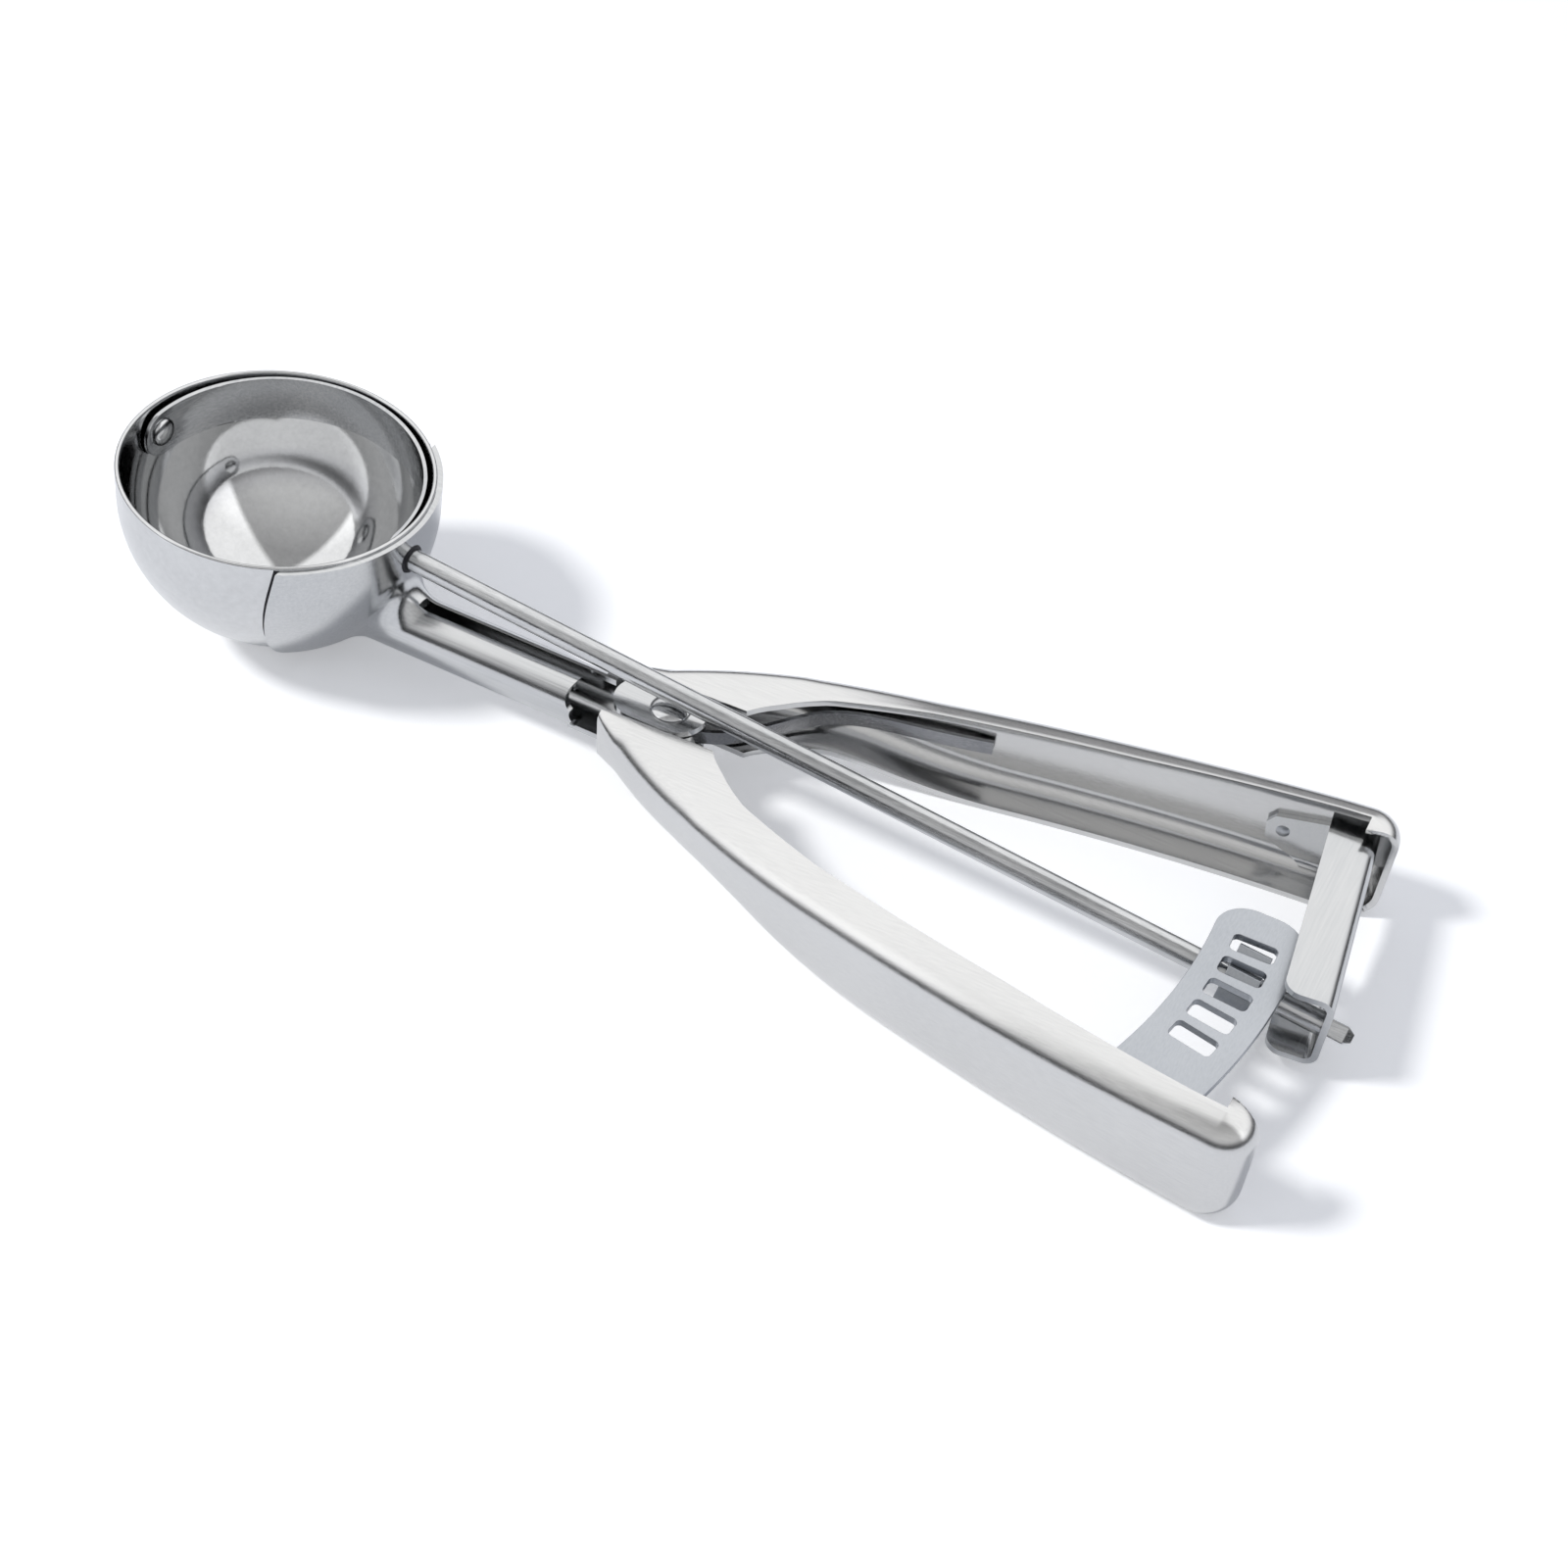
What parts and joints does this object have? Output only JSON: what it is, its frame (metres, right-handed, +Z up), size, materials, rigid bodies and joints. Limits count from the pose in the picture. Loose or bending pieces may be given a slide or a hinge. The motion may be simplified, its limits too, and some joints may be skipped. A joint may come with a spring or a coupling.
{
  "type": "lever ice cream scoop",
  "caption": "Stainless ice cream scoop: round bowl with a sweeping scraper blade, geared to a pair of sprung squeeze handles.",
  "frame": {"origin": "on the table plane, under the middle of the bounding box", "axes": "+X from the bowl to the handle ends, +Y to the side of the fixed handle, +Z up as the scoop lies on a table with its bowl open upwards"},
  "size_m": [0.2112, 0.0738, 0.0329],
  "materials": {
    "mirror_steel": "mirror-polished stainless steel",
    "polished_steel": "polished stainless steel with faint polishing lines",
    "handle_steel": "satin stainless steel, brushed lengthwise",
    "drawn_steel": "bright drawn stainless steel wire",
    "satin_steel": "satin stainless steel as stamped",
    "spring_steel": "spring steel strip"
  },
  "bodies": {
    "frame": {"bowl": "mirror_steel", "blade_front_rivet": "polished_steel", "neck_shank": "polished_steel", "fixed_handle": "handle_steel", "pivot_rivet": "polished_steel", "pivot_spacer": "drawn_steel", "handle_spring": "spring_steel", "bearing_bracket": "polished_steel", "bracket_weld_pip": "satin_steel"},
    "squeeze_handle": {"moving_handle": "handle_steel", "rack_plate": "satin_steel", "rack_weld_pips": "satin_steel"},
    "blade_shaft": {"blade_rod": "drawn_steel", "pinion": "satin_steel", "scraper_blade": "polished_steel"}
  },
  "joints": [
    {"name": "handle_squeeze", "type": "hinge", "parent": "frame", "child": "squeeze_handle", "pos_m": [-0.00607, 0, 0.0093], "axis": [0, 0, 1], "range_deg": [0, 7.6], "stiffness_Nm_per_rad": 3, "springref_deg": -8.59, "deforming": ["handle_spring"]},
    {"name": "blade_turn", "type": "hinge", "parent": "frame", "child": "blade_shaft", "pos_m": [-0.07957, 0, 0.025], "axis": [0.995, 0, -0.0995], "range_deg": [-178, 0]}
  ],
  "couplings": [
    {"joint": "blade_turn", "follows": "handle_squeeze", "ratio": -23.285}
  ]
}
